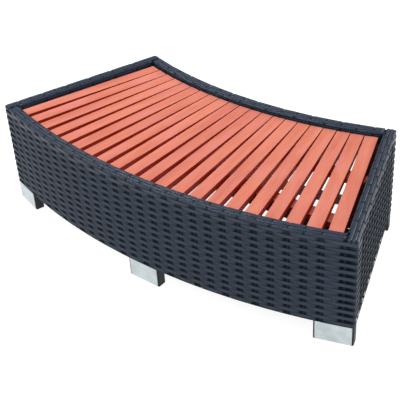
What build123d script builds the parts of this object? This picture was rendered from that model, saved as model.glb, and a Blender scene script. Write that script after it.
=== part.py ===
from build123d import *
from math import asin, cos, degrees, radians, sin, sqrt
import os

# Curved one-tier spa step: a welded square-tube frame inside a woven skin, carrying a slatted
# wooden deck and standing on six flat feet. The convex side is the front; the concave side, which
# goes against the round tub, is open.
#
# Millimetres. X runs along the step, Y runs from the front to the back, Z is up. The origin is on
# the floor, under the middle of the bounding box.

# Overall size
WIDTH = 920
DEPTH = 457
HEIGHT = 250
FOOT_HEIGHT = 45.5
HALF_ANGLE = 19  # each end lies on a radius of the arcs, this far round from the middle
CORNER = 6  # rounding of the skin's vertical corners and of the rim's top edges

# Woven skin and steel frame
SKIN = 4
TUBE = 18
TUBE_WALL = 1.2
TUBE_ROUND = 1.5
CLEARANCE = 0.2  # between flat-faced steel and the curved skin
RIM_WIDTH = TUBE + 2 * SKIN
FRONT_RETURN = 8  # how far the end skin turns round the front corner
NOTCH_SLACK = 0.4  # room round a bent rail where it passes through the end rim
NOTCH_DEPTH = 16  # more than the inner side of the end rim is thick, to either side of it

# Deck
SLAT_COUNT = 21
SLAT_WIDTH = 28.5
SLAT_THICKNESS = 13
SLAT_ROUND = 1.2
SLAT_END_GAP = 3  # between a slat's ends and the rim
SLAT_SIDE_GAP = 8  # between the outermost slats and the end rims
DECK_DROP = 9  # from the top of the rim down to the deck
BATTEN_WIDTH = SLAT_WIDTH  # the battens are cut from the same board as the slats
BATTEN_THICKNESS = SLAT_THICKNESS
BATTEN_ROUND = 1
FRONT_BATTEN_Y = -87.5
BACK_BATTEN_Y = 55.5
FRONT_BATTEN_LENGTH = 800
BACK_BATTEN_LENGTH = 718
FRONT_SCREW_Y = -78.5  # behind the cross tube, which the front batten overhangs
BACK_SCREW_Y = 62.5
LEDGE_THICKNESS = 3
LEDGE_REACH = 44  # from the end face to the inner edge of the ledge
LEDGE_GAP = 1  # from the ends of a ledge to the steel beside them
LEDGE_SCREW_Y = 49
LEDGE_SCREW_INSET = 38.5  # from the end face
PILOT_STOP = 3  # wood left above a pilot hole

# Feet
FOOT_WIDTH = 80
FOOT_DEPTH = 20.5
FOOT_ROUND = 2
FOOT_BEVEL = 1
FOOT_SETBACK = 0.6  # from the skin's outer face to the middle of the plate
FOOT_END_INSET = 1  # from the end face to the side of a corner foot
PLATE_THICKNESS = 1.2
PLATE_SIDE_MARGIN = 3.5
PLATE_BOTTOM_MARGIN = 2
PLATE_ROUND = 3
PLATE_BEVEL = 0.4

# Screws
DECK_SCREW = {"head_radius": 3.2, "head": 2, "radius": 1.8, "length": 20}
TUBE_SCREW = {"head_radius": 4, "head": 2.5, "radius": 2, "length": 26}
LEDGE_SCREW = {"head_radius": 3.2, "head": 2, "radius": 1.8, "length": 12}
FOOT_SCREW = {"head_radius": 3.8, "head": 3, "radius": 2, "length": 48}
SCREW_PLAY = 0.2
TUBE_SCREW_PITCH = 300
FOOT_SCREW_PITCH = 30
FOOT_BORE = 6  # depth of the counterbore for a foot screw's head
FOOT_BORE_RADIUS = 4.5

# Heights
RAIL_TOP = HEIGHT - SKIN
TOP_RAIL_Z = RAIL_TOP - TUBE
BOTTOM_RAIL_Z = FOOT_HEIGHT
RIM_HEIGHT = TUBE + SKIN
DECK_TOP = HEIGHT - DECK_DROP
DECK_BOTTOM = DECK_TOP - SLAT_THICKNESS
BATTEN_BOTTOM = DECK_BOTTOM - BATTEN_THICKNESS
CROSS_TUBE_Z = BATTEN_BOTTOM - TUBE
PILOT_DEPTH = SLAT_THICKNESS - PILOT_STOP

# Plan: two concentric arcs closed by radial ends. Rounding a corner pulls the bounding box in by
# CORNER_LOSS, which the radii make up for.
END_SIN = sin(radians(HALF_ANGLE))
END_COS = cos(radians(HALF_ANGLE))
CORNER_LOSS = CORNER * (END_SIN + END_COS - 1)
OUTER = (WIDTH / 2 + CORNER_LOSS) / END_SIN
ARC_Y = OUTER - DEPTH / 2
INNER = (OUTER - DEPTH - CORNER_LOSS) / END_COS
FRONT_FACE = OUTER - SKIN  # outer radius of the steel behind the front skin
BACK_FACE = INNER + SKIN  # inner radius of the steel along the back
ARC_AXIS = Axis((0, ARC_Y, 0), (0, 0, 1))
UP = Vector(0, 0, 1)
INWARD = Vector(-END_COS, -END_SIN)  # into the step, square to its right-hand end

# The slats fan out from one point, placed so that the outermost slats lie parallel to the ends.
FAN_SHIFT = (RIM_WIDTH + SLAT_SIDE_GAP + SLAT_WIDTH / 2) / END_SIN
FAN_Y = ARC_Y - FAN_SHIFT
SLAT_ANGLES = [HALF_ANGLE * (2 * i / (SLAT_COUNT - 1) - 1) for i in range(SLAT_COUNT)]

# Angles of the corner feet, whose outer sides lie just inside the end faces
FRONT_FOOT_ANGLE = HALF_ANGLE - degrees((FOOT_END_INSET + FOOT_WIDTH / 2) / OUTER)
BACK_FOOT_ANGLE = HALF_ANGLE - degrees((FOOT_END_INSET + FOOT_WIDTH / 2) / BACK_FACE)

# Positions that depend on several parts
CROSS_TUBE_Y = FRONT_BATTEN_Y - (BATTEN_WIDTH - TUBE) / 2
TUBE_SCREW_X = (-TUBE_SCREW_PITCH, 0, TUBE_SCREW_PITCH)
SIDE_POST_DISTANCE = (ARC_Y - CROSS_TUBE_Y - (SKIN + TUBE) * END_SIN) / END_COS
LEDGE_SCREW_DISTANCE = (ARC_Y - LEDGE_SCREW_Y - LEDGE_SCREW_INSET * END_SIN) / END_COS
LEDGE_BACK = BACK_FACE + CLEARANCE + TUBE + LEDGE_GAP
TONGUE_INSET = SKIN + TUBE + LEDGE_GAP  # the shelf beside the back post
LEDGE_FRONT = (ARC_Y - CROSS_TUBE_Y - TUBE / 2 - LEDGE_REACH * END_SIN) / END_COS - LEDGE_GAP
FRONT_PLATE = OUTER - FOOT_SETBACK
BACK_PLATE = INNER + FOOT_SETBACK
FRONT_FEET = {
    "foot_front_left": (-FRONT_FOOT_ANGLE, FRONT_PLATE, 1),
    "foot_front_centre": (0, FRONT_PLATE, 1),
    "foot_front_right": (FRONT_FOOT_ANGLE, FRONT_PLATE, 1),
}
BACK_FEET = {
    "foot_back_left": (-BACK_FOOT_ANGLE, BACK_PLATE, -1),
    "foot_back_centre": (0, BACK_PLATE, -1),
    "foot_back_right": (BACK_FOOT_ANGLE, BACK_PLATE, -1),
}


def ray(angle):
    """Unit vector from the arcs' centre towards the front, turned to the right by angle."""
    return Vector(sin(radians(angle)), -cos(radians(angle)))


def on_arc(angle, radius, height=0):
    """Point at an angle and radius about the arcs' centre."""
    return Vector(0, ARC_Y, height) + ray(angle) * radius


def radial_plane(angle):
    """Upright plane through the arcs' axis: x outwards along the radius, y up."""
    return Plane(origin=(0, ARC_Y, 0), x_dir=ray(angle), z_dir=ray(angle).cross(UP))


def end_section(distance):
    """Upright plane across the right-hand end: x inwards from the end face, y up, facing back."""
    return Plane(origin=on_arc(HALF_ANGLE, distance), x_dir=INWARD, z_dir=INWARD.cross(UP))


def end_plan(height):
    """Level plane at the right-hand end: x inwards from the end face, y along it to the front."""
    return Plane(origin=(0, ARC_Y, height), x_dir=INWARD, z_dir=UP)


def mirrored(piece):
    """The left-hand twin of a right-hand piece."""
    with BuildPart() as twin:
        mirror(piece, about=Plane.YZ)
    return twin.part


def tube_section():
    """Hollow square section, drawn at the current location of a sketch."""
    RectangleRounded(TUBE, TUBE, TUBE_ROUND)
    Rectangle(TUBE - 2 * TUBE_WALL, TUBE - 2 * TUBE_WALL, mode=Mode.SUBTRACT)


def arc_between_ends(radius, inset):
    """Half the angle of an arc that stops at the given distance from the end faces."""
    return HALF_ANGLE - degrees(asin(inset / radius))


def arc_rail(inner_radius, level, bores=()):
    """Square tube bent to an arc, with bores through its lower wall for the foot screws."""
    half = arc_between_ends(inner_radius, SKIN + TUBE)
    with BuildPart() as rail:
        with BuildSketch(radial_plane(-half)):
            with Locations((inner_radius + TUBE / 2, level + TUBE / 2)):
                tube_section()
        revolve(axis=ARC_AXIS, revolution_arc=2 * half)
        if bores:
            with Locations(*[(point.X, point.Y, level + TUBE / 2) for point in bores]):
                Cylinder(
                    FOOT_SCREW["radius"] + SCREW_PLAY,
                    TUBE / 2,
                    align=(Align.CENTER, Align.CENTER, Align.MAX),
                    mode=Mode.SUBTRACT,
                )
    return rail.part


def end_rail(level):
    """Straight square tube along the right-hand end, the full depth of the frame."""
    with BuildPart() as rail:
        with BuildSketch(end_section(FRONT_FACE - CLEARANCE)):
            with Locations((SKIN + TUBE / 2, level + TUBE / 2)):
                tube_section()
        extrude(amount=FRONT_FACE - BACK_FACE - 2 * CLEARANCE)
    return rail.part


def post(plane, across, along):
    """Upright square tube from the bottom rails to the top rails."""
    with BuildPart() as upright:
        with BuildSketch(plane):
            with Locations((across, along)):
                tube_section()
        extrude(amount=TOP_RAIL_Z - BOTTOM_RAIL_Z - TUBE)
    return upright.part


def cross_tube():
    """Straight tube under the front batten, mitred to the posts at both ends."""
    right = on_arc(0, 0) + INWARD * (SKIN + TUBE)
    with BuildPart() as tube:
        with BuildSketch(Plane.YZ):
            with Locations((CROSS_TUBE_Y, CROSS_TUBE_Z + TUBE / 2)):
                tube_section()
        extrude(amount=WIDTH / 2, both=True)
        for side in (1, -1):
            post_face = Plane(
                origin=(side * right.X, right.Y, 0), z_dir=(side * INWARD.X, INWARD.Y, 0)
            )
            split(bisect_by=post_face, keep=Keep.TOP)
        with Locations(*[(x, CROSS_TUBE_Y, CROSS_TUBE_Z) for x in TUBE_SCREW_X]):
            Cylinder(
                TUBE_SCREW["radius"] + SCREW_PLAY,
                TUBE,
                align=(Align.CENTER, Align.CENTER, Align.MIN),
                mode=Mode.SUBTRACT,
            )
    return tube.part


def ledge_screw_point():
    """Where the back batten is screwed to the right-hand ledge, on the ledge's upper side."""
    end_point = on_arc(HALF_ANGLE, LEDGE_SCREW_DISTANCE, BATTEN_BOTTOM)
    return end_point + INWARD * LEDGE_SCREW_INSET


def deck_ledge():
    """Folded strip under the right-hand top rail. Its shelf carries the back batten's end and
    runs on past the back post."""
    fold = SKIN + TUBE - LEDGE_THICKNESS
    with BuildPart() as ledge:
        with BuildSketch(end_section(LEDGE_FRONT)):
            with Locations((SKIN, TOP_RAIL_Z)):
                Rectangle(TUBE, LEDGE_THICKNESS, align=(Align.MIN, Align.MAX))
            with Locations((fold, TOP_RAIL_Z)):
                Rectangle(
                    LEDGE_THICKNESS,
                    TOP_RAIL_Z - BATTEN_BOTTOM + LEDGE_THICKNESS,
                    align=(Align.MIN, Align.MAX),
                )
            with Locations((fold, BATTEN_BOTTOM)):
                Rectangle(LEDGE_REACH - fold, LEDGE_THICKNESS, align=(Align.MIN, Align.MAX))
        extrude(amount=LEDGE_FRONT - LEDGE_BACK)
        with BuildSketch(end_section(LEDGE_BACK)):
            with Locations((TONGUE_INSET, BATTEN_BOTTOM)):
                Rectangle(
                    LEDGE_REACH - TONGUE_INSET,
                    LEDGE_THICKNESS,
                    align=(Align.MIN, Align.MAX),
                )
        extrude(amount=LEDGE_BACK - BACK_FACE - CLEARANCE)
        with Locations(ledge_screw_point()):
            Cylinder(
                LEDGE_SCREW["radius"] + SCREW_PLAY,
                2 * LEDGE_THICKNESS,
                mode=Mode.SUBTRACT,
            )
    return ledge.part


def front_skin():
    """Woven panel of the convex front, between the two end panels."""
    half = arc_between_ends(FRONT_FACE, FRONT_RETURN + CLEARANCE)
    with BuildPart() as skin:
        with BuildSketch(radial_plane(-half)):
            with Locations((FRONT_FACE, FOOT_HEIGHT)):
                Rectangle(SKIN, TOP_RAIL_Z - FOOT_HEIGHT, align=(Align.MIN, Align.MIN))
        revolve(axis=ARC_AXIS, revolution_arc=2 * half)
    return skin.part


def end_skin():
    """Woven panel of the right-hand end. It turns both corners and covers the back post."""
    middle = (INNER + OUTER) / 2
    with BuildPart() as skin:
        with BuildSketch(end_plan(FOOT_HEIGHT)) as outline:
            with Locations((0, middle)):
                Rectangle(SKIN + TUBE, OUTER - INNER, align=(Align.MIN, Align.CENTER))
            fillet(outline.vertices().group_by(Axis.X)[0], CORNER)
            with Locations((SKIN, middle)):
                Rectangle(RIM_WIDTH, FRONT_FACE - BACK_FACE, align=(Align.MIN, Align.CENTER),
                          mode=Mode.SUBTRACT)
            with Locations((FRONT_RETURN, OUTER)):
                Rectangle(RIM_WIDTH, RIM_WIDTH, align=(Align.MIN, Align.CENTER),
                          mode=Mode.SUBTRACT)
        extrude(amount=TOP_RAIL_Z - FOOT_HEIGHT)
    return skin.part


def arc_rim(inner_radius):
    """Woven wrap over a bent top rail: its top and both sides, down to the rail's lower edge."""
    half = arc_between_ends(inner_radius, RIM_WIDTH)
    with BuildPart() as wrap:
        with BuildSketch(radial_plane(-half)) as section:
            with Locations((inner_radius, TOP_RAIL_Z)):
                Rectangle(RIM_WIDTH, RIM_HEIGHT, align=(Align.MIN, Align.MIN))
            fillet(section.vertices().group_by(Axis.Y)[-1], CORNER)
            with Locations((inner_radius + SKIN, TOP_RAIL_Z)):
                Rectangle(TUBE, TUBE, align=(Align.MIN, Align.MIN), mode=Mode.SUBTRACT)
        revolve(axis=ARC_AXIS, revolution_arc=2 * half)
    return wrap.part


def end_rim():
    """Woven wrap over the right-hand top rail. It closes over both corners of the frame."""
    with BuildPart() as wrap:
        with BuildSketch(end_section(OUTER)):
            with Locations((0, TOP_RAIL_Z)):
                Rectangle(RIM_WIDTH, RIM_HEIGHT, align=(Align.MIN, Align.MIN))
        extrude(amount=OUTER - INNER)
        corners = wrap.edges().filter_by(Axis.Z).sort_by(Axis((0, 0, 0), INWARD))[:2]
        fillet(wrap.faces().sort_by(Axis.Z)[-1].edges() + corners, CORNER)
        with BuildSketch(end_section(FRONT_FACE)):
            with Locations((SKIN, TOP_RAIL_Z)):
                Rectangle(TUBE, TUBE, align=(Align.MIN, Align.MIN))
        extrude(amount=FRONT_FACE - BACK_FACE, mode=Mode.SUBTRACT)
        with BuildSketch(end_plan(TOP_RAIL_Z)):
            for distance in (FRONT_FACE - TUBE / 2, BACK_FACE + TUBE / 2):
                with Locations((SKIN + TUBE, distance)):
                    Rectangle(NOTCH_DEPTH, TUBE + 2 * NOTCH_SLACK)
        extrude(amount=TUBE, mode=Mode.SUBTRACT)
    return wrap.part


def fan_reach(angle, radius, offset):
    """Distance along a slat from the fan's point to a circle about the arcs' centre.

    The distance is taken to the edge that lies offset from the slat's own line.
    """
    sideways = abs(FAN_SHIFT * sin(radians(angle))) + offset
    return sqrt(radius**2 - sideways**2) - FAN_SHIFT * cos(radians(angle))


def screw_point(angle, row, height):
    """Where a slat's centre line crosses a row of screws."""
    return Vector((FAN_Y - row) * sin(radians(angle)) / cos(radians(angle)), row, height)


def slat(angle):
    """Parallel-sided board with eased top edges and two pilot holes in its underside."""
    front = fan_reach(angle, OUTER - RIM_WIDTH - SLAT_END_GAP, SLAT_WIDTH / 2)
    back = fan_reach(angle, INNER + RIM_WIDTH + SLAT_END_GAP, -SLAT_WIDTH / 2)
    across = Vector(cos(radians(angle)), sin(radians(angle)))
    with BuildPart() as board:
        with BuildSketch(Plane(origin=(0, FAN_Y, DECK_BOTTOM), x_dir=across, z_dir=UP)):
            with Locations((0, -(front + back) / 2)):
                Rectangle(SLAT_WIDTH, front - back)
        extrude(amount=SLAT_THICKNESS)
        fillet(board.faces().sort_by(Axis.Z)[-1].edges(), SLAT_ROUND)
        with Locations(
            screw_point(angle, FRONT_SCREW_Y, DECK_BOTTOM),
            screw_point(angle, BACK_SCREW_Y, DECK_BOTTOM),
        ):
            Cylinder(
                DECK_SCREW["radius"] + SCREW_PLAY,
                PILOT_DEPTH,
                align=(Align.CENTER, Align.CENTER, Align.MIN),
                mode=Mode.SUBTRACT,
            )
    return board.part


def batten(middle, length, slat_screw_row, fixing_points):
    """Straight board across the slats, bored for the screws from below."""
    with BuildPart() as board:
        with BuildSketch(Plane.XY.offset(BATTEN_BOTTOM)):
            with Locations((0, middle)):
                Rectangle(length, BATTEN_WIDTH)
        extrude(amount=BATTEN_THICKNESS)
        fillet(board.edges().filter_by(Axis.X), BATTEN_ROUND)
        with Locations(*[screw_point(a, slat_screw_row, BATTEN_BOTTOM) for a in SLAT_ANGLES]):
            Cylinder(
                DECK_SCREW["radius"] + SCREW_PLAY,
                BATTEN_THICKNESS,
                align=(Align.CENTER, Align.CENTER, Align.MIN),
                mode=Mode.SUBTRACT,
            )
        with Locations(*fixing_points):
            Cylinder(
                TUBE_SCREW["radius"] + SCREW_PLAY,
                PILOT_DEPTH,
                align=(Align.CENTER, Align.CENTER, Align.MIN),
                mode=Mode.SUBTRACT,
            )
    return board.part


def screws(points, size):
    """Pan-head screws pointing up, each with the underside of its head at a point."""
    tip = size["radius"]
    with BuildPart() as group:
        with Locations(*points):
            Cylinder(
                size["head_radius"], size["head"], align=(Align.CENTER, Align.CENTER, Align.MAX)
            )
            Cylinder(
                size["radius"],
                size["length"] - tip,
                align=(Align.CENTER, Align.CENTER, Align.MIN),
            )
        with Locations(*[point + UP * (size["length"] - tip) for point in points]):
            Cone(size["radius"], 0, tip, align=(Align.CENTER, Align.CENTER, Align.MIN))
    return group.part


def foot_plane(angle, radius, facing, height=0):
    """Level plane at a foot: x along its show face, y from that face into the step.

    facing is 1 for a foot at the front and -1 for one at the back.
    """
    into = ray(angle) * -facing
    return Plane(origin=on_arc(angle, radius, height), x_dir=into.cross(UP), z_dir=UP)


def foot(place):
    """Moulded block, set back by the thickness of its plate, with two counterbored holes."""
    plane = foot_plane(*place)
    with BuildPart() as block:
        with BuildSketch(plane):
            with Locations((0, PLATE_THICKNESS)):
                Rectangle(FOOT_WIDTH, FOOT_DEPTH, align=(Align.CENTER, Align.MIN))
        extrude(amount=FOOT_HEIGHT)
        fillet(block.edges().filter_by(Axis.Z), FOOT_ROUND)
        chamfer(block.faces().sort_by(Axis.Z)[0].edges(), FOOT_BEVEL)
        with Locations(*foot_screw_points(place, 0)):
            Cylinder(
                FOOT_BORE_RADIUS,
                FOOT_BORE,
                align=(Align.CENTER, Align.CENTER, Align.MIN),
                mode=Mode.SUBTRACT,
            )
            Cylinder(
                FOOT_SCREW["radius"] + SCREW_PLAY,
                FOOT_HEIGHT,
                align=(Align.CENTER, Align.CENTER, Align.MIN),
                mode=Mode.SUBTRACT,
            )
    return block.part


def foot_screw_points(place, height):
    """The two screw positions of a foot, side by side under the rail."""
    plane = foot_plane(*place)
    depth = SKIN - FOOT_SETBACK + TUBE / 2
    sides = (-FOOT_SCREW_PITCH / 2, FOOT_SCREW_PITCH / 2)
    return [plane.from_local_coords(Vector(side, depth, height)) for side in sides]


def foot_plates(places):
    """Thin metal plates on the feet's show faces, with rounded lower corners and a bevelled edge."""
    with BuildPart() as plates:
        for place in places:
            level = foot_plane(*place)
            show_face = Plane(
                origin=level.from_local_coords(Vector(0, PLATE_THICKNESS, 0)),
                x_dir=level.x_dir,
                z_dir=-level.y_dir,
            )
            with BuildSketch(show_face) as outline:
                with Locations((0, PLATE_BOTTOM_MARGIN)):
                    Rectangle(
                        FOOT_WIDTH - 2 * PLATE_SIDE_MARGIN,
                        FOOT_HEIGHT - PLATE_BOTTOM_MARGIN,
                        align=(Align.CENTER, Align.MIN),
                    )
                fillet(outline.vertices().group_by(Axis.Y)[0], PLATE_ROUND)
            extrude(amount=PLATE_THICKNESS)
            outwards = Axis(show_face.origin, show_face.z_dir)
            chamfer(plates.faces(Select.LAST).sort_by(outwards)[-1].edges(), PLATE_BEVEL)
    return plates.part


def bores_of(feet):
    """Screw positions of a row of feet, on the floor."""
    return [point for place in feet.values() for point in foot_screw_points(place, 0)]


pieces = {}

# Frame
pieces["top_rail_front"] = arc_rail(FRONT_FACE - TUBE, TOP_RAIL_Z)
pieces["top_rail_back"] = arc_rail(BACK_FACE, TOP_RAIL_Z)
pieces["top_rail_right"] = end_rail(TOP_RAIL_Z)
pieces["bottom_rail_front"] = arc_rail(FRONT_FACE - TUBE, BOTTOM_RAIL_Z, bores_of(FRONT_FEET))
pieces["bottom_rail_back"] = arc_rail(BACK_FACE, BOTTOM_RAIL_Z, bores_of(BACK_FEET))
pieces["bottom_rail_right"] = end_rail(BOTTOM_RAIL_Z)
post_plan = end_plan(BOTTOM_RAIL_Z + TUBE)
post_inset = SKIN + TUBE / 2
post_setback = TUBE / 2 + CLEARANCE
pieces["post_front_right"] = post(post_plan, post_inset, FRONT_FACE - post_setback)
pieces["post_side_right"] = post(post_plan, post_inset, SIDE_POST_DISTANCE)
pieces["post_back_right"] = post(post_plan, post_inset, BACK_FACE + post_setback)
centre_plan = Plane.XY.offset(BOTTOM_RAIL_Z + TUBE)
pieces["post_front_centre"] = post(centre_plan, 0, ARC_Y - FRONT_FACE + post_setback)
pieces["post_back_centre"] = post(centre_plan, 0, ARC_Y - BACK_FACE - post_setback)
pieces["deck_cross_tube"] = cross_tube()
ledge = deck_ledge()
with BuildPart() as ledges:
    add(ledge)
    mirror(ledge, about=Plane.YZ)
pieces["deck_ledges"] = ledges.part

# Woven skin
pieces["wicker_front"] = front_skin()
pieces["wicker_right"] = end_skin()
pieces["rim_wrap_front"] = arc_rim(OUTER - RIM_WIDTH)
pieces["rim_wrap_back"] = arc_rim(INNER)
pieces["rim_wrap_right"] = end_rim()

# Left-hand twins
for name in [name for name in pieces if name.endswith("_right")]:
    pieces[name.replace("_right", "_left")] = mirrored(pieces[name])

# Deck
for number, angle in enumerate(SLAT_ANGLES, start=1):
    pieces[f"slat_{number:02d}"] = slat(angle)
tube_fixings = [Vector(x, CROSS_TUBE_Y, BATTEN_BOTTOM) for x in TUBE_SCREW_X]
right_fixing = ledge_screw_point()
ledge_fixings = [Vector(side * right_fixing.X, right_fixing.Y, right_fixing.Z) for side in (-1, 1)]
pieces["batten_front"] = batten(
    FRONT_BATTEN_Y, FRONT_BATTEN_LENGTH, FRONT_SCREW_Y, tube_fixings
)
pieces["batten_back"] = batten(
    BACK_BATTEN_Y, BACK_BATTEN_LENGTH, BACK_SCREW_Y, ledge_fixings
)
pieces["slat_screws"] = screws(
    [screw_point(a, y, BATTEN_BOTTOM) for y in (FRONT_SCREW_Y, BACK_SCREW_Y) for a in SLAT_ANGLES],
    DECK_SCREW,
)
pieces["cross_tube_screws"] = screws(
    [point - UP * TUBE for point in tube_fixings],
    TUBE_SCREW,
)
pieces["ledge_screws"] = screws(
    [point - UP * LEDGE_THICKNESS for point in ledge_fixings],
    LEDGE_SCREW,
)

# Feet
for name, place in {**FRONT_FEET, **BACK_FEET}.items():
    pieces[name] = foot(place)
pieces["foot_plates_front"] = foot_plates(FRONT_FEET.values())
pieces["foot_plates_back"] = foot_plates(BACK_FEET.values())
pieces["foot_screws"] = screws(
    [point + UP * FOOT_BORE for point in bores_of(FRONT_FEET) + bores_of(BACK_FEET)],
    FOOT_SCREW,
)

os.makedirs("parts", exist_ok=True)
for name, piece in pieces.items():
    piece.label = name
    export_step(piece, f"parts/{name}.step")
print(len(pieces), "pieces")
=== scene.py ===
from collections import namedtuple
from math import asin, ceil, copysign, cos, pi, radians, sin

import bmesh
import bpy
from mathutils import Matrix, Vector, noise


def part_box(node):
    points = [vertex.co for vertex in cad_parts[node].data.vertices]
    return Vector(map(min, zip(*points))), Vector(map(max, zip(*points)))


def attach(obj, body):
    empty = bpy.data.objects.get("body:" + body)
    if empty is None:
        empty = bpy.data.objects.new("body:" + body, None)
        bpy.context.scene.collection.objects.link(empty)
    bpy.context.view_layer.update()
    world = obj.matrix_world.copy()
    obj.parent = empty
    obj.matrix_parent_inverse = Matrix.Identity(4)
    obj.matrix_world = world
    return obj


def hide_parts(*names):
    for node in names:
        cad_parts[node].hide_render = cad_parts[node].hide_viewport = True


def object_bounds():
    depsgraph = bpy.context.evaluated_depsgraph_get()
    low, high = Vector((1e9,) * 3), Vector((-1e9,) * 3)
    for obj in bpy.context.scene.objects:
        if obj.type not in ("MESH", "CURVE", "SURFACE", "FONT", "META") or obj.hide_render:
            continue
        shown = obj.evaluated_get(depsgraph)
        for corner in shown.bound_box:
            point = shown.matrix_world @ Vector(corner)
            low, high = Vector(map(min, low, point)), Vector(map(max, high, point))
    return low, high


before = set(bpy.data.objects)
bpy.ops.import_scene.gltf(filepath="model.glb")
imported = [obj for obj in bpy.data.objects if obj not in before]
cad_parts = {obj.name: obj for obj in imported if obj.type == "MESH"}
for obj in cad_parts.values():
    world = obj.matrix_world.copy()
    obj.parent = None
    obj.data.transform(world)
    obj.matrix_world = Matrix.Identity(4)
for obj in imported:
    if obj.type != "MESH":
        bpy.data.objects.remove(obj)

# Looks for a curved spa step: the woven skin strand by strand, the stained slats, the steel, the
# moulded feet and their plates. Metres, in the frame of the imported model: X runs along the step,
# -Y is the convex front, Z is up, and the origin is on the floor.

CAD_LOW, CAD_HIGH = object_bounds()

# Plan of the step: two arcs about one centre, closed by ends that lie on radii
HALF_ANGLE = radians(19)
CORNER = 0.006  # rounding of the skin's vertical corners
CORNER_DEPTH = 0.95  # how far in an inset may go at a corner, on the scale of its radius
RIM_ROUND = 0.006  # rounding of the wrapped rim's top edges
RIM_WIDTH = 0.026
SKIN_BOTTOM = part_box("wicker_front")[0].z
RIM_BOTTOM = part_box("rim_wrap_front")[0].z
RIM_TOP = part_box("rim_wrap_front")[1].z
CORNER_LOSS = CORNER * (sin(HALF_ANGLE) + cos(HALF_ANGLE) - 1)
OUTER = ((CAD_HIGH.x - CAD_LOW.x) / 2 + CORNER_LOSS) / sin(HALF_ANGLE)
INNER = (OUTER - (CAD_HIGH.y - CAD_LOW.y) - CORNER_LOSS) / cos(HALF_ANGLE)
CENTRE = Vector((0, CAD_LOW.y + OUTER, 0))
UP = Vector((0, 0, 1))
END_NORMAL = Vector((cos(HALF_ANGLE), sin(HALF_ANGLE), 0))

# Weave. A strand's section is an oval, and a smaller power makes it squarer. Its depth counts from
# the crown of the weave; reach is how far from a stake it starts to dip, flat how far it stays at
# the bottom, sag how far it falls before it dips, and spread how much wider it is at the bottom,
# behind its neighbours.
Strand = namedtuple("Strand", "width thickness power depth reach flat sag spread")
FACE_STRAND = Strand(
    width=0.0080, thickness=0.0012, power=0.6,
    depth=0.0021, reach=0.0104, flat=0.0040, sag=0.0007, spread=0.62,
)
RIM_STRAND = Strand(
    width=0.0077, thickness=0.0030, power=0.8,
    depth=0.0010, reach=0.0036, flat=0.0011, sag=0.0001, spread=0,
)
HEM_STRAND = FACE_STRAND._replace(width=0.0020, depth=0, sag=0, spread=0)
HEM_ROW = -1  # the narrow row under the first full one
ROW_PITCH = 0.0079
SECTION_POINTS = 12
END_PULL = 1.35  # round the front corners and along the ends the dips are longer, and their painted shade darker

# What varies from strand to strand and along each one
WIDTH_CHANGE = 0.012
REACH_CHANGE = 0.08
WANDER = 0.00012  # how far a strand strays to either side of its row
MIDDLE_TONE = 0.5
ROW_TONE = 0.3
STREAK_TONE = 0.2
STREAK_RATE = 0.6  # a smaller rate makes longer streaks
# Every kind of variation takes its own part of the noise
REACH_NOISE, TONE_NOISE, WANDER_NOISE, WIDTH_NOISE, STREAK_NOISE, SLAT_NOISE = range(1, 7)

# Stakes, by their distance round the outline from the middle of the front
FACE_STAKES = 13
STAKE_PITCH = 0.0326
RIGHT_STAKE = 0.0100  # the first stake on the right
CORNER_STAKE = 0.445  # the last stake before the front corner
CORNER_EASE = 0.012  # how far before that stake the dips start to be longer
END_STAKE_START = 0.034  # from the front corner to the first stake of the end
END_STAKE_PITCH = 0.0300
END_STAKES = 12
RETURN_STAKE = 0.325  # the stake on the back return, from the middle of the back
BACK_STAKES = 9
BACK_STAKE_PITCH = RETURN_STAKE / (BACK_STAKES + 0.5)
# A stake's two bands: width, width over the rim, and depth from the crown of the weave. The rows
# pass on both sides of the first and in front of the second, which closes the weave behind it.
STAKE_BANDS = ((0.0070, 0.0024, 0.0014), (0.0318, 0.0024, 0.0034))
STAKE_THICKNESS = 0.0005
STAKE_STEP = 0.0043  # between a band's sections
STAKE_SHOULDER = 0.7  # where a band's rounded edge starts, on the scale of its half width
STAKE_EDGE = 0.25  # how much thinner its edge is on each side, on the scale of its thickness
STAKE_SHADE = 1.0  # painted shade on a stake, on the scale of a strand's way down its dip
STAKE_TONE = 0.4

TURN_STEPS = 6  # sections of a strand round a corner
DIP_STEPS = 7  # on each side of a dip
CROWN_STEP = STAKE_PITCH / 4  # between the sections in front of a stake
NEAREST_STATIONS = 0.0005
TUCK = 0.0002  # how far stakes stay inside the edges of the skin
BUTT = 0.001  # how far the arc rims' strands run in under the end rims
RETURN_GAP = 0.0035  # from the back return's free edge to the back post's inner side


def ray(angle):
    """Level unit vector, turned from the front towards the right."""
    return Vector((sin(angle), -cos(angle), 0))


class Turn:
    """Arc of the outline. Angles are those of its outward normal; a negative radius is concave."""

    def __init__(self, centre, radius, start, end):
        self.centre, self.radius, self.start = centre, radius, start
        self.sign = 1 if end > start else -1
        self.length = abs(radius) * abs(end - start)

    def at(self, distance, inset):
        """Point and outward normal at a distance along the arc."""
        normal = ray(self.start + self.sign * distance / abs(self.radius))
        if 0 < self.radius < RIM_WIDTH:
            inset = min(inset, CORNER_DEPTH * self.radius)
        return self.centre + normal * (self.radius - inset), normal


class Straight:
    """Straight stretch of the outline, from one point to another."""

    def __init__(self, start, end, normal):
        self.first, self.normal = start, normal
        self.length = (end - start).length
        self.direction = (end - start).normalized()

    def at(self, distance, inset):
        """Point and outward normal at a distance along the stretch."""
        return self.first + self.direction * distance - self.normal * inset, self.normal


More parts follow.
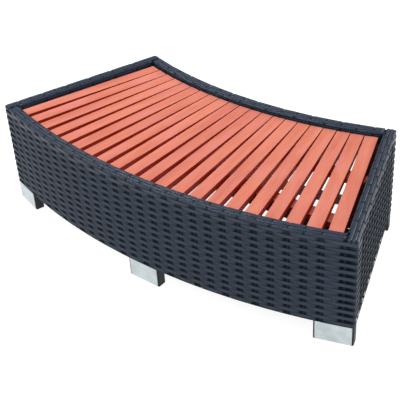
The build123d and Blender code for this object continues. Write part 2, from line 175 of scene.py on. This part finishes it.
def half_outline():
    """Outline of the right-hand half, from the middle of the front to the middle of the back."""
    front_cut = asin(CORNER / (OUTER - CORNER))
    back_cut = asin(CORNER / (INNER + CORNER))
    front_corner = CENTRE + ray(HALF_ANGLE - front_cut) * (OUTER - CORNER)
    back_corner = CENTRE + ray(HALF_ANGLE - back_cut) * (INNER + CORNER)
    side = HALF_ANGLE + pi / 2
    return [
        Turn(CENTRE, OUTER, 0, HALF_ANGLE - front_cut),
        Turn(front_corner, CORNER, HALF_ANGLE - front_cut, side),
        Straight(front_corner + END_NORMAL * CORNER, back_corner + END_NORMAL * CORNER, END_NORMAL),
        Turn(back_corner, CORNER, side, HALF_ANGLE - back_cut + pi),
        Turn(CENTRE, -INNER, HALF_ANGLE - back_cut + pi, pi),
    ]


OUTLINE = half_outline()
OUTLINE_STARTS = [sum(part.length for part in OUTLINE[:i]) for i in range(len(OUTLINE))]
HALF_LENGTH = sum(part.length for part in OUTLINE)
FRONT_CORNER = OUTLINE_STARTS[1]
END_START = OUTLINE_STARTS[2]
BACK_START = OUTLINE_STARTS[4]


def outline(distance, inset):
    """Point and outward normal at a distance round the outline, inset from it."""
    where = abs(distance)
    number = max(i for i, start in enumerate(OUTLINE_STARTS) if start <= where or i == 0)
    point, normal = OUTLINE[number].at(where - OUTLINE_STARTS[number], inset)
    if distance < 0:
        point = Vector((-point.x, point.y, point.z))
        normal = Vector((-normal.x, normal.y, normal.z))
    return point, normal


# The wrap's profile, as a length: up the face, over the rounded edge, across the top, over the
# inner edge and down the inner face. The rows of the weave are numbered along it.
EDGE = RIM_TOP - RIM_ROUND
QUARTER = RIM_ROUND * pi / 2
TOP_START = EDGE + QUARTER
TOP_END = TOP_START + RIM_WIDTH - 2 * RIM_ROUND
INNER_FACE = TOP_END + QUARTER
PROFILE_END = INNER_FACE + EDGE - RIM_BOTTOM
FIRST_ROW_START = SKIN_BOTTOM + HEM_STRAND.width
FIRST_RIM_ROW = ceil((RIM_BOTTOM - FIRST_ROW_START) / ROW_PITCH)
FIRST_TOP_ROW = ceil((EDGE - FIRST_ROW_START) / ROW_PITCH)  # the lowest that turns no corner
FIRST_INNER_ROW = ceil((TOP_END - FIRST_ROW_START) / ROW_PITCH)
LAST_ROW = int((PROFILE_END - FIRST_ROW_START) / ROW_PITCH)


def profile(length):
    """Inset from the face, height, and the inward normal's two components, along the profile."""
    if length <= EDGE:
        return 0, length, 1, 0
    if length <= TOP_START:
        turn = (length - EDGE) / RIM_ROUND
        return RIM_ROUND * (1 - cos(turn)), EDGE + RIM_ROUND * sin(turn), cos(turn), -sin(turn)
    if length <= TOP_END:
        return RIM_ROUND + length - TOP_START, RIM_TOP, 0, -1
    if length <= INNER_FACE:
        turn = (length - TOP_END) / RIM_ROUND
        inset = RIM_WIDTH - RIM_ROUND + RIM_ROUND * sin(turn)
        return inset, EDGE + RIM_ROUND * cos(turn), -sin(turn), -cos(turn)
    return RIM_WIDTH, EDGE - (length - INNER_FACE), -1, 0


def wrap_point(distance, length, depth):
    """Point at a distance round the outline and a length along the profile, under the surface."""
    inset, height, across, down = profile(length)
    point, _ = outline(distance, inset + depth * across)
    return point + UP * (height + depth * down)


# The end rim's top strands run the full depth of the step and bend down over both of its edges.
END_FLAT_FRONT = OUTER - RIM_ROUND
END_FLAT_BACK = INNER + RIM_ROUND
END_RIM_LENGTH = END_FLAT_FRONT - END_FLAT_BACK + 2 * QUARTER
LEAST_BEND = 0.0003


def end_rim_point(distance, length, depth):
    """Point on the right-hand end rim, at a distance from the foot of its front bend."""
    inset, height, across, down = profile(length)
    inset += depth * across
    drop = RIM_TOP - height - depth * down
    run = distance - QUARTER
    flat = END_FLAT_FRONT - END_FLAT_BACK
    over = max(-run, run - flat, 0) / RIM_ROUND
    reach = max(RIM_ROUND - drop, LEAST_BEND)
    along = END_FLAT_FRONT - min(max(run, 0), flat)
    if over > 0:
        along += (1 if run < 0 else -1) * reach * sin(over)
        drop = RIM_ROUND - reach * cos(over)
    return CENTRE + ray(HALF_ANGLE) * along - END_NORMAL * inset + UP * (RIM_TOP - drop)


FRONT_STAKE = FACE_STAKES  # number of the last stake on the front
FIRST_END_STAKE = FRONT_STAKE + 1
FIRST_BACK_STAKE = FIRST_END_STAKE + END_STAKES
STAKE_COUNT = FIRST_BACK_STAKE + BACK_STAKES + 1


class Side:
    """One half of the weave. Its stakes are numbered from the middle of the front."""

    def __init__(self, sign, first_stake, parity):
        self.sign, self.parity = sign, parity
        places = [first_stake + number * STAKE_PITCH for number in range(FACE_STAKES)]
        places.append(CORNER_STAKE)
        first = END_START - CORNER + END_STAKE_START
        places += [first + number * END_STAKE_PITCH for number in range(END_STAKES)]
        back = [(number + 0.5) * BACK_STAKE_PITCH for number in range(BACK_STAKES + 1)]
        places += [HALF_LENGTH - place for place in reversed(back)]
        self.stakes = places

    def goes_behind(self, row, number):
        """Whether a row's strand passes behind a stake. The two halves alternate at the middle."""
        return (row + self.parity + number) % 2 == 1

    def behind(self, row, numbers):
        """Distances of the stakes a row passes behind, out of a range of stakes."""
        if row == HEM_ROW:
            return []
        return [self.stakes[number] for number in numbers if self.goes_behind(row, number)]

    def front_join(self, row):
        """Where a row's front and end strands meet: behind a stake near the front corner."""
        number = FRONT_STAKE if self.goes_behind(row, FRONT_STAKE) else FRONT_STAKE - 1
        return self.stakes[number]

    def back_join(self, row):
        """Where a rim row's end strand stops on the back: behind the first stake it can."""
        number = FIRST_BACK_STAKE
        return self.stakes[number if self.goes_behind(row, number) else number + 1]


RIGHT = Side(1, RIGHT_STAKE, 1)
LEFT = Side(-1, STAKE_PITCH - RIGHT_STAKE, 0)

NOISE_PITCH = Vector((1.37, 41.3, 7.7))  # between rows, per metre, and between kinds
NOISE_START = Vector((0.5, 0, 0.3))
NOISE_GAIN = 1.6


def uneven(row, place, kind):
    """A repeatable number between about -1 and 1 for one spot of the weave."""
    return noise.noise(Vector((row, place, kind)) * NOISE_PITCH + NOISE_START) * NOISE_GAIN


def strand_of(row):
    """Size and shape of a row's strand."""
    if row == HEM_ROW:
        return HEM_STRAND
    return RIM_STRAND if row >= FIRST_TOP_ROW else FACE_STRAND


def row_middle(row):
    """Length along the profile of the middle of a row."""
    if row == HEM_ROW:
        return SKIN_BOTTOM + HEM_STRAND.width / 2
    return FIRST_ROW_START + ROW_PITCH * (row + 0.5)


def pull_at(distance):
    """How tight the weave is at a distance round the outline."""
    if abs(distance) > BACK_START:
        return 1
    rise = 1 + (abs(distance) - CORNER_STAKE) / CORNER_EASE
    return 1 + (END_PULL - 1) * min(max(rise, 0), 1)


def strand_depth(row, distance, behind):
    """Depth of a strand and how far down its dip it is, from 0 to 1."""
    strand = strand_of(row)
    pull = pull_at(distance)
    nearest = min((abs(distance - place) for place in behind), default=STAKE_PITCH)
    reach = strand.reach * pull * (1 + REACH_CHANGE * uneven(row, distance, REACH_NOISE))
    flat = strand.flat * pull
    climb = min(max((nearest - flat) / (reach - flat), 0), 1)
    fall = (1 + cos(pi * climb)) / 2
    away = min(max((nearest - reach) / (STAKE_PITCH - reach), 0), 1)
    sag = strand.sag * pull ** 2 * (1 + cos(pi * away)) / 2
    return strand.depth * fall + sag * (1 - fall), fall


def stations(row, start, end, crossings, behind, turns=()):
    """Where a strand has sections: close together in its dips and round the corners."""
    strand = strand_of(row)
    slope = strand.reach * (1 + REACH_CHANGE) - strand.flat
    marks = {start, end}
    for place in crossings:
        if place in behind:
            for side in (-1, 1):
                marks.update(
                    place + side * pull_at(place) * (strand.flat + slope * step / DIP_STEPS)
                    for step in range(DIP_STEPS + 1)
                )
        else:
            marks.update(place + side * CROWN_STEP for side in (-1, 0, 1))
    for low, high in turns:
        marks.update(low + (high - low) * step / TURN_STEPS for step in range(TURN_STEPS + 1))
    kept = []
    for mark in sorted(m for m in marks if start <= m <= end):
        if not kept or mark - kept[-1] > NEAREST_STATIONS:
            kept.append(mark)
    kept[-1] = end
    return kept


def strand_section(strand, width):
    """Oval: offset across the strand, depth under its crown, and place across from -1 to 1."""
    section = []
    for number in range(SECTION_POINTS):
        angle = 2 * pi * (number + 0.5) / SECTION_POINTS
        across = copysign(abs(cos(angle)) ** strand.power, cos(angle))
        deep = copysign(abs(sin(angle)) ** strand.power, sin(angle))
        section.append((across * width / 2, (1 - deep) * strand.thickness / 2, across))
    return section


class Cloth:
    """Collects the tubes of one woven piece, with what its material needs at each vertex."""

    def __init__(self):
        self.points, self.faces, self.weave = [], [], []

    def tube(self, rings, weave):
        """Closed tube through rings of points that all have the same number of points."""
        count = len(rings[0])
        first = len(self.points)
        for ring, marks in zip(rings, weave):
            self.points.extend(ring)
            self.weave.extend(marks)
        for step in range(len(rings) - 1):
            base = first + step * count
            for side in range(count):
                after = (side + 1) % count
                self.faces.append((base + side, base + count + side, base + count + after, base + after))
        self.faces.append(tuple(range(first, first + count)))
        last = first + (len(rings) - 1) * count
        self.faces.append(tuple(range(last + count - 1, last - 1, -1)))

    def strand(self, row, marks, behind, place):
        """One row's strand through its stations. place turns weave coordinates into a point."""
        middle = row_middle(row)
        kind = strand_of(row)
        deepest = kind.depth or FACE_STRAND.depth
        row_tone = MIDDLE_TONE + ROW_TONE * uneven(row, marks[0], TONE_NOISE)
        rings, weave = [], []
        for mark in marks:
            depth, fall = strand_depth(row, mark, behind)
            here = middle + WANDER * uneven(row, mark, WANDER_NOISE)
            change = WIDTH_CHANGE * uneven(row, mark, WIDTH_NOISE)
            section = strand_section(kind, kind.width * (1 + change + kind.spread * fall))
            rings.append([place(mark, here + aside, depth + deep) for aside, deep, _ in section])
            # Painted shade for the material: deeper dips are darker, and more so round the front corners
            # and along the ends
            shadow = depth * pull_at(mark) ** 2 / deepest
            tone = row_tone + STREAK_TONE * uneven(row, mark * STREAK_RATE, STREAK_NOISE)
            weave.append([(across, shadow, tone) for _, _, across in section])
        self.tube(rings, weave)

    def stake(self, where, low, high, place):
        """Upright bands that the rows are woven round, narrower where they go over the rim."""
        steps = max(2, ceil((high - low) / STAKE_STEP))
        edge = STAKE_EDGE * STAKE_THICKNESS
        for width, rim_width, near in STAKE_BANDS:
            far = near + STAKE_THICKNESS
            rings, weave = [], []
            for step in range(steps + 1):
                length = low + (high - low) * step / steps
                half = (width if length < EDGE else rim_width) / 2
                shoulder = STAKE_SHOULDER * half
                section = [
                    (-half, near + edge), (-shoulder, near), (shoulder, near), (half, near + edge),
                    (half, far - edge), (shoulder, far), (-shoulder, far), (-half, far - edge),
                ]
                rings.append([place(where + across, length, deep) for across, deep in section])
                # Painted shade: stakes stand in the dark pits of the weave and are painted as dark as
                # the bottom of a dip
                weave.append([(across / half, STAKE_SHADE, STAKE_TONE) for across, _ in section])
            self.tube(rings, weave)

    def finish(self, name, node, material, mirror=False):
        """Makes the mesh object, which replaces its plain CAD node."""
        mesh = bpy.data.meshes.new(name)
        points = [(-p.x, p.y, p.z) if mirror else tuple(p) for p in self.points]
        mesh.from_pydata(points, [], self.faces)
        mark = mesh.attributes.new("weave", "FLOAT_VECTOR", "POINT")
        mark.data.foreach_set("vector", [value for triple in self.weave for value in triple])
        mesh.polygons.foreach_set("use_smooth", [len(face) == 4 for face in self.faces])
        mesh.update()
        fix_normals(mesh)
        piece = bpy.data.objects.new(name, mesh)
        bpy.context.scene.collection.objects.link(piece)
        mesh.materials.append(MATERIALS[material])
        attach(piece, "root")
        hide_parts(node)


def fix_normals(mesh):
    """Turns every face outwards."""
    shape = bmesh.new()
    shape.from_mesh(mesh)
    bmesh.ops.recalc_face_normals(shape, faces=shape.faces)
    shape.to_mesh(mesh)
    shape.free()


# Where a strand turns a corner, by its distance round the outline
FRONT_TURN = (FRONT_CORNER, END_START)
BACK_TURN = (OUTLINE_STARTS[3], BACK_START)


def both_sides(numbers, measure=abs):
    """Signed distances of a range of stakes on both sides of the step."""
    return [side.sign * measure(side.stakes[number]) for side in (LEFT, RIGHT) for number in numbers]


def both_behind(row, numbers, measure=abs):
    """Signed distances of the stakes a row passes behind on both sides."""
    return [side.sign * measure(place) for side in (LEFT, RIGHT) for place in side.behind(row, numbers)]


def weave_front():
    """Front panel: every row of the upright face, with both ends hidden behind a stake."""
    cloth = Cloth()
    numbers = range(FIRST_END_STAKE)
    for row in range(HEM_ROW, FIRST_RIM_ROW):
        behind = both_behind(row, numbers)
        start, end = -LEFT.front_join(row), RIGHT.front_join(row)
        marks = stations(row, start, end, both_sides(numbers), behind)
        cloth.strand(row, marks, behind, wrap_point)
    for place in both_sides(numbers):
        cloth.stake(place, SKIN_BOTTOM + TUCK, RIM_BOTTOM, wrap_point)
    cloth.finish("woven_front", "wicker_front", "strand")


def end_rows(cloth, side, rows, finish):
    """Rows of an end, drawn as the right-hand one: round both corners, to the given distance."""
    numbers = range(FRONT_STAKE - 1, FIRST_BACK_STAKE + 2)
    crossings = [side.stakes[number] for number in numbers]
    for row in rows:
        behind = side.behind(row, numbers)
        marks = stations(
            row, side.front_join(row), finish(row), crossings, behind, (FRONT_TURN, BACK_TURN)
        )
        cloth.strand(row, marks, behind, wrap_point)


RETURN_END = HALF_LENGTH - (INNER * HALF_ANGLE - RIM_WIDTH + RETURN_GAP)


def weave_end(side, name, node):
    """End panel, which turns both corners and stops at the back post's inner side."""
    cloth = Cloth()
    end_rows(cloth, side, range(HEM_ROW, FIRST_RIM_ROW), lambda row: RETURN_END)
    for place in side.stakes[FIRST_END_STAKE:FIRST_BACK_STAKE + 1]:
        cloth.stake(place, SKIN_BOTTOM + TUCK, RIM_BOTTOM, wrap_point)
    cloth.finish(name, node, "strand", side is LEFT)


def butt_distance(radius):
    """Distance from the middle of an arc at which it meets the end rim's inner side."""
    return radius * (HALF_ANGLE - asin((RIM_WIDTH - BUTT) / radius))


def arc_place(start):
    """Turns distances from the middle of the front or the back into points of the wrap."""
    def place(distance, length, depth):
        side = 1 if distance >= 0 else -1
        return wrap_point(side * abs(start - abs(distance)), length, depth)
    return place


def weave_arc_rim(name, node, numbers, start, radius, join):
    """Wrap of a bent rail, between the end rims. join gives how far a row that turns goes."""
    cloth = Cloth()
    butt = butt_distance(radius)
    place = arc_place(start)

    def measure(distance):
        return abs(start - distance)

    crossings = both_sides(numbers, measure)
    for row in range(FIRST_RIM_ROW, LAST_ROW + 1):
        behind = both_behind(row, numbers, measure)
        first, last = -butt, butt
        if row < FIRST_TOP_ROW:
            first, last = -measure(join(LEFT, row)), measure(join(RIGHT, row))
        cloth.strand(row, stations(row, first, last, crossings, behind), behind, place)
    for spot in crossings:
        if abs(spot) < butt:
            cloth.stake(spot, RIM_BOTTOM, PROFILE_END, place)
    cloth.finish(name, node, "rim")


def weave_end_rim(side, name, node):
    """Wrap of the end's top rail: rows that turn the corners, then rows that bend down at them."""
    cloth = Cloth()
    end_rows(cloth, side, range(FIRST_RIM_ROW, FIRST_TOP_ROW), side.back_join)
    numbers = range(FIRST_END_STAKE, FIRST_BACK_STAKE)
    shift = QUARTER - RIM_ROUND + CORNER - END_START
    crossings = [side.stakes[number] + shift for number in numbers]
    bends = ((0, QUARTER), (END_RIM_LENGTH - QUARTER, END_RIM_LENGTH))
    for row in range(FIRST_TOP_ROW, LAST_ROW + 1):
        start = QUARTER + RIM_WIDTH - RIM_ROUND if row >= FIRST_INNER_ROW else 0
        behind = [place + shift for place in side.behind(row, numbers)]
        marks = stations(row, start, END_RIM_LENGTH - start, crossings, behind, bends)
        cloth.strand(row, marks, behind, end_rim_point)
    for place in crossings:
        cloth.stake(place, RIM_BOTTOM, PROFILE_END, end_rim_point)
    cloth.finish(name, node, "rim", side is LEFT)


def weave_skin():
    """All seven woven pieces."""
    weave_front()
    for side, word in ((RIGHT, "right"), (LEFT, "left")):
        weave_end(side, f"woven_{word}", f"wicker_{word}")
        weave_end_rim(side, f"woven_rim_{word}", f"rim_wrap_{word}")
    weave_arc_rim(
        "woven_rim_front", "rim_wrap_front", range(FIRST_END_STAKE), 0, OUTER, Side.front_join
    )
    weave_arc_rim(
        "woven_rim_back", "rim_wrap_back", range(FIRST_BACK_STAKE, STAKE_COUNT), HALF_LENGTH, INNER,
        Side.back_join,
    )


class Nodes:
    """Short way to build the node tree of a material or of the world, which ends in one shader."""

    def __init__(self, owner, shader):
        owner.use_nodes = True
        self.tree = owner.node_tree
        self.shader = self.tree.nodes[shader]

    def set(self, **sockets):
        """Fixed values on the shader. An underscore stands for a space."""
        for name, value in sockets.items():
            self.shader.inputs[name.replace("_", " ")].default_value = value

    def drive(self, **sockets):
        """Values of the shader that change over the surface."""
        for name, value in sockets.items():
            self.feed(self.shader.inputs[name.replace("_", " ")], value)

    def add(self, kind, inputs=None, **properties):
        """A node with its properties and inputs."""
        node = self.tree.nodes.new(kind)
        for name, value in properties.items():
            setattr(node, name, value)
        for name, value in (inputs or {}).items():
            self.feed(node.inputs[name], value)
        return node

    def feed(self, socket, value):
        """Links an input when the value is a socket, and sets it otherwise."""
        if isinstance(value, bpy.types.NodeSocket):
            self.tree.links.new(value, socket)
        else:
            socket.default_value = value

    def position(self, turn=0, shift=(0, 0, 0)):
        """Object coordinates, turned about Z to line up with a part."""
        source = self.add("ShaderNodeTexCoord").outputs["Object"]
        inputs = {0: source, "Rotation": (0, 0, -turn), "Location": shift}
        return self.add("ShaderNodeMapping", inputs).outputs[0]

    def stretch(self, vector, scale):
        """Coordinates scaled per axis. A small scale draws a pattern out along its axis."""
        return self.add("ShaderNodeMapping", {0: vector, "Scale": scale}).outputs[0]

    def noise(self, vector, scale, detail=3, roughness=0.5):
        """Fractal noise, mostly between 0.3 and 0.7."""
        inputs = {"Vector": vector, "Scale": scale, "Detail": detail, "Roughness": roughness}
        return self.add("ShaderNodeTexNoise", inputs).outputs["Fac"]

    def math(self, operation, a, b=0.0):
        """One operation on one value or on two."""
        return self.add("ShaderNodeMath", {0: a, 1: b}, operation=operation).outputs[0]

    def spread(self, value, span, result):
        """Maps a span of a value onto the span of a result, clamped."""
        inputs = {0: value, 1: span[0], 2: span[1], 3: result[0], 4: result[1]}
        return self.add("ShaderNodeMapRange", inputs, clamp=True).outputs[0]

    def mix(self, factor, a, b):
        """Colour between a and b."""
        node = self.add("ShaderNodeMix", {0: factor}, data_type="RGBA")
        self.feed(node.inputs[6], a)
        self.feed(node.inputs[7], b)
        return node.outputs[2]

    def bump(self, height, distance):
        """Fine relief, with its height in metres."""
        normal = self.add("ShaderNodeBump", {"Height": height, "Distance": distance}).outputs[0]
        self.drive(Normal=normal)


def surface(name):
    """A new material and its node tree."""
    material = bpy.data.materials.new(name)
    return material, Nodes(material, "Principled BSDF")


STRAND_DUST = (0.034, 0.044, 0.062, 1)
# Painted shade: near-black laid into the dips of the weave, on the stakes and along the strands' edges
STRAND_PAINTED_SHADE = (0.003, 0.005, 0.009, 1)
STRAND_RIBS = 26  # radians of the ribs' sine, from the middle of a strand to its edge
STRAND_EDGE_SHADE_POWER = 6  # power of the painted shade towards a strand's edges, where the rows meet
STRAND_RELIEF = 0.00006


def strand_material(name, level, low, high, gloss):
    """Flat extruded plastic strand: fine lengthwise ribs, with painted shade in the dips of the weave
    and along its edges.
    """
    material, nodes = surface(name)
    nodes.set(IOR=1.4, Specular_IOR_Level=level)
    weave = nodes.add("ShaderNodeAttribute", attribute_name="weave").outputs["Vector"]
    across, fall, tone = nodes.add("ShaderNodeSeparateXYZ", {0: weave}).outputs
    grain = nodes.noise(nodes.position(), scale=260, detail=4)
    dust = nodes.spread(grain, (0.45, 0.8), (0, 0.35))
    colour = nodes.mix(dust, nodes.mix(tone, low, high), STRAND_DUST)
    # Painted shade: each dip is darkest on its lower side, and each strand darkens towards its edges
    # where the rows meet
    lower_side_shade = nodes.spread(across, (-0.7, 0.9), (1, 0.45))
    dip = nodes.math("MULTIPLY", fall, lower_side_shade)
    edge = nodes.math("POWER", nodes.math("ABSOLUTE", across), STRAND_EDGE_SHADE_POWER)
    shadow = nodes.math("MAXIMUM", dip, nodes.math("MULTIPLY", edge, 0.5))
    colour = nodes.mix(nodes.spread(shadow, (0, 0.9), (0, 0.95)), colour, STRAND_PAINTED_SHADE)
    dullness = nodes.math("MULTIPLY", fall, 0.5)
    rough = nodes.math("ADD", nodes.spread(grain, (0.3, 0.8), gloss), dullness)
    nodes.drive(Base_Color=colour, Roughness=rough)
    ribs = nodes.math("SINE", nodes.math("MULTIPLY", across, STRAND_RIBS))
    nodes.bump(nodes.math("ADD", ribs, nodes.math("MULTIPLY", grain, 2)), STRAND_RELIEF)
    return material


WOOD_PALE = (0.77, 0.240, 0.138, 1)
WOOD_DEEP = (0.56, 0.132, 0.084, 1)
WOOD_BLUSH = (0.73, 0.225, 0.180, 1)
WOOD_FIBRE = (0.40, 0.066, 0.032, 1)
# Painted shade on the boards' upright faces
WOOD_SIDE_SHADE = (0.30, 0.013, 0.003, 1)
WOOD_RELIEF = 0.00018
SHIFT_ALONG = 1.7  # shift of the grain along a board, on the scale of the shift across it


def wood_material(name, angle, shift, tone):
    """Stained softwood board whose grain runs along the board, at an angle from the Y axis."""
    material, nodes = surface(name)
    nodes.set(IOR=1.45, Specular_IOR_Level=0.2)
    along = nodes.position(turn=angle, shift=(shift, SHIFT_ALONG * shift, 0))
    fibres = nodes.noise(nodes.stretch(along, (1, 0.035, 1)), scale=540, detail=4, roughness=0.6)
    figure = nodes.noise(nodes.stretch(along, (1, 0.12, 1)), scale=40, roughness=0.55)
    patches = nodes.noise(nodes.stretch(along, (1, 0.3, 1)), scale=34, detail=4, roughness=0.65)
    colour = nodes.mix(nodes.spread(figure, (0.32, 0.68), (0, 0.8)), WOOD_PALE, WOOD_DEEP)
    colour = nodes.mix(nodes.spread(fibres, (0.45, 0.8), (0, 0.4)), colour, WOOD_FIBRE)
    colour = nodes.mix(nodes.spread(patches, (0.45, 0.66), (0, 0.75)), colour, WOOD_BLUSH)
    colour = nodes.mix(tone, colour, WOOD_DEEP)
    # Painted shade: faces that stand upright, the boards' sides and ends, are darkened towards deep red
    normal = nodes.add("ShaderNodeNewGeometry").outputs["Normal"]
    upright = nodes.add("ShaderNodeSeparateXYZ", {0: normal}).outputs[2]
    colour = nodes.mix(nodes.spread(upright, (0.2, 0.85), (1, 0)), colour, WOOD_SIDE_SHADE)
    rough = nodes.spread(fibres, (0.3, 0.8), (0.52, 0.70))
    nodes.drive(Base_Color=colour, Roughness=rough)
    nodes.bump(nodes.math("ADD", fibres, nodes.math("MULTIPLY", figure, 0.5)), WOOD_RELIEF)
    return material


BROADER = 40  # how much broader than the fine texture the slow change of tone is
ROUGH_CHANGE = 0.07


def speckled_material(name, base, light, rough, scale, relief, metallic=0.0):
    """Powder coat, moulded plastic or zinc: a fine even texture with a slight change of tone."""
    material, nodes = surface(name)
    nodes.set(Metallic=metallic, Specular_IOR_Level=0.3)
    where = nodes.position()
    fine = nodes.noise(where, scale)
    broad = nodes.noise(where, scale / BROADER)
    colour = nodes.mix(nodes.spread(broad, (0.35, 0.7), (0, 0.6)), base, light)
    colour = nodes.mix(nodes.spread(fine, (0.45, 0.75), (0, 0.4)), colour, light)
    span = (rough - ROUGH_CHANGE, rough + ROUGH_CHANGE)
    nodes.drive(Base_Color=colour, Roughness=nodes.spread(fine, (0.3, 0.7), span))
    nodes.bump(fine, relief)
    return material


PLATE_BRIGHT = (0.60, 0.64, 0.64, 1)
PLATE_SMEAR = (0.48, 0.52, 0.53, 1)
PLATE_SCRATCH = (0.36, 0.40, 0.42, 1)
PLATE_RELIEF = 0.00004


def plate_material():
    """Brushed silver plate, with fine level scratches and duller smears."""
    material, nodes = surface("silver_plate")
    nodes.set(Metallic=0.75, Specular_IOR_Level=0.5)
    where = nodes.position()
    level = nodes.stretch(where, (0.06, 0.06, 1))
    scratches = nodes.noise(level, scale=3200, detail=4, roughness=0.65)
    smears = nodes.noise(where, scale=55)
    colour = nodes.mix(nodes.spread(smears, (0.35, 0.7), (0, 1)), PLATE_BRIGHT, PLATE_SMEAR)
    colour = nodes.mix(nodes.spread(scratches, (0.5, 0.8), (0, 0.5)), colour, PLATE_SCRATCH)
    nodes.drive(Base_Color=colour, Roughness=nodes.spread(scratches, (0.3, 0.8), (0.28, 0.5)))
    nodes.bump(scratches, PLATE_RELIEF)
    return material


MATERIALS = {
    "strand": strand_material(
        "woven_strand", level=0.15, gloss=(0.36, 0.50),
        low=(0.032, 0.041, 0.058, 1), high=(0.046, 0.057, 0.078, 1),
    ),
    # Rim wraps: the same strand, glossier, with a darker base colour that is painted shade for the
    # shaded rim
    "rim": strand_material(
        "rim_strand_painted_shade", level=0.5, gloss=(0.24, 0.36),
        low=(0.010, 0.017, 0.033, 1), high=(0.021, 0.033, 0.058, 1),
    ),
    "steel": speckled_material(
        "black_steel", base=(0.012, 0.013, 0.015, 1), light=(0.024, 0.026, 0.029, 1),
        rough=0.5, scale=1800, relief=0.00008,
    ),
    "plastic": speckled_material(
        "black_plastic", base=(0.003, 0.003, 0.004, 1), light=(0.010, 0.011, 0.013, 1),
        rough=0.55, scale=1100, relief=0.0001,
    ),
    "plate": plate_material(),
    "zinc": speckled_material(
        "zinc_screws", base=(0.55, 0.56, 0.58, 1), light=(0.68, 0.68, 0.67, 1),
        rough=0.38, scale=2400, relief=0.00003, metallic=0.95,
    ),
}

SLAT_COUNT = len([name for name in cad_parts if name.startswith("slat_") and name[-2:].isdigit()])
SLAT_CONTRAST = 0.4  # how much darker the darkest slats are
SLAT_SAMPLE = 0.4  # where along the noise the slats' tones are taken
SLAT_SHIFT = 0.31  # of the grain, from each slat to the next
BATTENS = (("batten_front", 7.3), ("batten_back", 8.9))  # and the shift of each one's grain
BATTEN_TONE = 0.5


def dress(name, material):
    """Gives a CAD node its material."""
    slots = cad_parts[name].data.materials
    slots.clear()
    slots.append(material)


def dress_frame():
    """Materials of every CAD node that stays visible."""
    for number in range(SLAT_COUNT):
        angle = HALF_ANGLE * (2 * number / (SLAT_COUNT - 1) - 1)
        tone = SLAT_CONTRAST * (1 + uneven(number, SLAT_SAMPLE, SLAT_NOISE)) / 2
        name = f"slat_{number + 1:02d}"
        dress(name, wood_material(name, angle, SLAT_SHIFT * number, tone))
    for name, shift in BATTENS:
        dress(name, wood_material(name, pi / 2, shift, BATTEN_TONE))
    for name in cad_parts:
        if name.endswith("screws"):
            dress(name, MATERIALS["zinc"])
        elif any(word in name for word in ("rail", "post", "tube", "ledges")):
            dress(name, MATERIALS["steel"])
        elif name.startswith("foot_plates"):
            dress(name, MATERIALS["plate"])
        elif name.startswith("foot_"):
            dress(name, MATERIALS["plastic"])


# Camera, floor and light
CAMERA_PLACE = Vector((1.1026, -1.3289, 1.2735))
CAMERA_HEADING = radians(40.32)
CAMERA_DOWN = radians(34.72)
CAMERA_ROLL = radians(-3.87)
LENS = 85.25  # millimetres, as is the sensor
SENSOR = 36
FLOOR_SIZE = 12
FLOOR_GREY = (0.3, 0.3, 0.3, 1)
FLOOR_GLOW = 0.88
HORIZON = (0.50, 0.54, 0.58, 1)
ZENITH = (1.0, 1.08, 1.18, 1)
SKY_STRENGTH = 0.8
# Metres and watts
Lamp = namedtuple("Lamp", "name place target size power colour")
LAMPS = (
    Lamp("key", (1.2, 1.8, 1.1), (0.2, 0, 0.15), 1.0, 23, (1.0, 0.96, 0.90)),
    Lamp("window", (-1.15, -0.05, 1.95), (-0.1, 0, 0.2), 0.7, 21, (0.92, 0.97, 1.0)),
    Lamp("fill", (0.6, -1.5, 1.9), (0, 0, 0.2), 1.0, 9, (0.72, 0.86, 1.0)),
)


def make_camera():
    """Camera in front and to the right, looking down at the step."""
    data = bpy.data.cameras.new("camera")
    data.lens = LENS
    data.sensor_width = SENSOR
    camera = bpy.data.objects.new("camera", data)
    turn = (
        Matrix.Rotation(CAMERA_HEADING, 4, "Z")
        @ Matrix.Rotation(pi / 2 - CAMERA_DOWN, 4, "X")
        @ Matrix.Rotation(CAMERA_ROLL, 4, "Z")
    )
    camera.matrix_world = Matrix.Translation(CAMERA_PLACE) @ turn
    bpy.context.scene.collection.objects.link(camera)
    bpy.context.scene.camera = camera


def make_floor():
    """Level sheet that glows nearly white and shows only a faint shadow."""
    mesh = bpy.data.meshes.new("floor")
    half = FLOOR_SIZE / 2
    corners = [(-half, -half, 0), (half, -half, 0), (half, half, 0), (-half, half, 0)]
    mesh.from_pydata(corners, [], [(0, 1, 2, 3)])
    floor = bpy.data.objects.new("floor", mesh)
    bpy.context.scene.collection.objects.link(floor)
    material, nodes = surface("pale_floor")
    nodes.set(Roughness=0.9, Specular_IOR_Level=0.0, Base_Color=FLOOR_GREY)
    nodes.set(Emission_Color=(1, 1, 1, 1), Emission_Strength=FLOOR_GLOW)
    mesh.materials.append(material)


def make_lamp(lamp):
    """Round soft light that faces its target."""
    data = bpy.data.lights.new(lamp.name, "AREA")
    data.shape = "DISK"
    data.size = lamp.size
    data.energy = lamp.power
    data.color = lamp.colour
    light = bpy.data.objects.new(lamp.name, data)
    light.location = lamp.place
    aim = Vector(lamp.target) - Vector(lamp.place)
    light.rotation_euler = aim.to_track_quat("-Z", "Y").to_euler()
    bpy.context.scene.collection.objects.link(light)


def make_light():
    """Bluish white surroundings, brighter overhead, and the lamps."""
    world = bpy.data.worlds.new("studio")
    nodes = Nodes(world, "Background")
    direction = nodes.add("ShaderNodeTexCoord").outputs["Generated"]
    upright = nodes.add("ShaderNodeSeparateXYZ", {0: direction}).outputs[2]
    nodes.drive(Color=nodes.mix(nodes.spread(upright, (0, 1), (0, 1)), HORIZON, ZENITH))
    nodes.set(Strength=SKY_STRENGTH)
    bpy.context.scene.world = world
    for lamp in LAMPS:
        make_lamp(lamp)
    bpy.context.scene.view_settings.view_transform = "Standard"


weave_skin()
dress_frame()
make_camera()
make_floor()
make_light()
